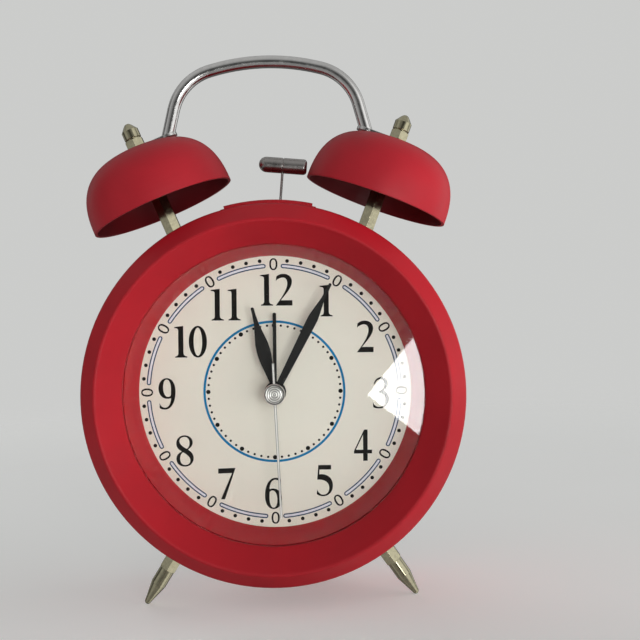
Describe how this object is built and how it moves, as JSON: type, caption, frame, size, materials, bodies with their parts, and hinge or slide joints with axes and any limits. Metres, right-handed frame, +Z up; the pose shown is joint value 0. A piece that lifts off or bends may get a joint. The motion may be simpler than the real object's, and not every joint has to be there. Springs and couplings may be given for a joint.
{
  "type": "twin bell alarm clock",
  "caption": "Twin bell alarm clock with a round red case, numbered dial, hammer between two bells, arched carrying handle, splayed feet and a geared quartz movement",
  "frame": {"origin": "middle of the footprint of the bounding box, on the floor under the feet", "axes": "+X to the right of someone reading the dial, +Y from the dial to the back, +Z up"},
  "size_m": [0.117, 0.056, 0.1729],
  "materials": {
    "red_plastic": "satin moulded red plastic",
    "bell_red": "matte red paint on sheet steel",
    "clear_lens": "clear flat lens",
    "dial_white": "off-white printed dial",
    "black_plastic": "matte black plastic",
    "black_paint": "black painted thin sheet",
    "nickel": "nickel plated turned metal",
    "handle_chrome": "bright chrome rod",
    "turned_steel": "grey turned steel",
    "bright_metal": "bright metal",
    "pad_rubber": "soft black rubber",
    "movement_plastic": "dark moulded plastic",
    "gear_plastic": "natural moulded plastic",
    "gear_brass": "cut brass",
    "plate_steel": "plain steel sheet",
    "copper_winding": "enamelled copper wire",
    "board": "green circuit board",
    "cell": "plain battery sleeve"
  },
  "bodies": {
    "clock": {"case_shell": "red_plastic", "front_bezel": "red_plastic", "lens": "clear_lens", "spacer_ring": "red_plastic", "dial": "dial_white", "back_cover": "black_plastic", "cover_screws": "plate_steel", "rear_pad": "pad_rubber", "left_bell": "bell_red", "right_bell": "bell_red", "left_post": "nickel", "right_post": "nickel", "post_nuts": "plate_steel", "left_finial": "nickel", "right_finial": "nickel", "handle": "handle_chrome", "left_foot": "nickel", "right_foot": "nickel", "movement_plate": "movement_plastic", "train_plate": "movement_plastic", "movement_cover": "movement_plastic", "movement_screws": "plate_steel", "stepper_core": "plate_steel", "stepper_coil": "copper_winding", "circuit_board": "board", "quartz_crystal": "plate_steel", "battery_cell": "cell", "positive_contact": "plate_steel", "negative_contact": "plate_steel", "switch_contact": "movement_plastic", "hammer_pivot_pin": "plate_steel", "bell_bracket": "plate_steel", "bracket_screws": "plate_steel", "bell_core": "plate_steel", "bell_coil": "copper_winding"},
    "second_train": {"second_hand": "bright_metal", "second_cap": "bright_metal", "second_wheel": "gear_brass"},
    "step_gear": {"step_wheel": "gear_plastic"},
    "stepper_rotor": {"rotor": "plate_steel"},
    "third_gear": {"third_wheel": "gear_plastic"},
    "centre_gear": {"centre_wheel": "gear_brass"},
    "minute_train": {"minute_hand": "black_paint", "cannon_pinion": "gear_brass"},
    "hour_train": {"hour_hand": "black_paint", "hour_wheel": "gear_plastic"},
    "time_setting": {"motion_wheel": "gear_plastic", "time_knob": "black_plastic"},
    "alarm_train": {"alarm_hand": "black_paint", "alarm_wheel": "gear_plastic"},
    "alarm_setting": {"alarm_pinion": "gear_plastic", "alarm_knob": "black_plastic"},
    "hammer": {"hammer_head": "turned_steel", "hammer_rod": "plate_steel", "hammer_lever": "gear_plastic", "hammer_magnet": "plate_steel"},
    "switch_slider": {"alarm_switch": "gear_plastic"},
    "battery_door": {"battery_cover": "black_plastic"}
  },
  "joints": [
    {"name": "second_spin", "type": "hinge", "parent": "clock", "child": "second_train", "pos_m": [0, -0.008, 0.06495], "axis": [0, 1, 0], "continuous": true},
    {"name": "step_spin", "type": "hinge", "parent": "clock", "child": "step_gear", "pos_m": [-0.00779, 0.002, 0.06945], "axis": [0, 1, 0], "continuous": true},
    {"name": "rotor_spin", "type": "hinge", "parent": "clock", "child": "stepper_rotor", "pos_m": [-0.01313, 0.002, 0.07253], "axis": [0, 1, 0], "continuous": true},
    {"name": "third_spin", "type": "hinge", "parent": "clock", "child": "third_gear", "pos_m": [0.0045, 0.002, 0.07274], "axis": [0, 1, 0], "continuous": true},
    {"name": "centre_spin", "type": "hinge", "parent": "clock", "child": "centre_gear", "pos_m": [0, 0.001, 0.06495], "axis": [0, 1, 0], "continuous": true},
    {"name": "time_set_spin", "type": "hinge", "parent": "clock", "child": "time_setting", "pos_m": [0.00997, 0.012, 0.0603], "axis": [0, 1, 0], "continuous": true},
    {"name": "minute_spin", "type": "hinge", "parent": "clock", "child": "minute_train", "pos_m": [0, -0.008, 0.06495], "axis": [0, 1, 0], "continuous": true},
    {"name": "hour_spin", "type": "hinge", "parent": "clock", "child": "hour_train", "pos_m": [0, -0.008, 0.06495], "axis": [0, 1, 0], "continuous": true},
    {"name": "alarm_set_spin", "type": "hinge", "parent": "clock", "child": "alarm_setting", "pos_m": [-0.01178, 0.012, 0.05946], "axis": [0, 1, 0], "continuous": true},
    {"name": "alarm_spin", "type": "hinge", "parent": "clock", "child": "alarm_train", "pos_m": [0, -0.008, 0.06495], "axis": [0, 1, 0], "continuous": true},
    {"name": "hammer_swing", "type": "hinge", "parent": "clock", "child": "hammer", "pos_m": [0, -0.0026, 0.09295], "axis": [0, 1, 0], "range_deg": [-13.1, 0.6]},
    {"name": "switch_slide", "type": "slide", "parent": "clock", "child": "switch_slider", "axis": [1, 0, 0], "range_m": [0, 0.004]},
    {"name": "battery_door_slide", "type": "slide", "parent": "clock", "child": "battery_door", "axis": [0, 1, 0], "range_m": [0, 0.02]}
  ],
  "couplings": [
    {"joint": "third_spin", "follows": "second_spin", "ratio": -0.13333},
    {"joint": "centre_spin", "follows": "second_spin", "ratio": 0.016667},
    {"joint": "step_spin", "follows": "second_spin", "ratio": -5},
    {"joint": "rotor_spin", "follows": "second_spin", "ratio": 30},
    {"joint": "minute_spin", "follows": "time_set_spin", "ratio": -3},
    {"joint": "hour_spin", "follows": "time_set_spin", "ratio": -0.25},
    {"joint": "alarm_spin", "follows": "alarm_set_spin", "ratio": -0.5}
  ]
}
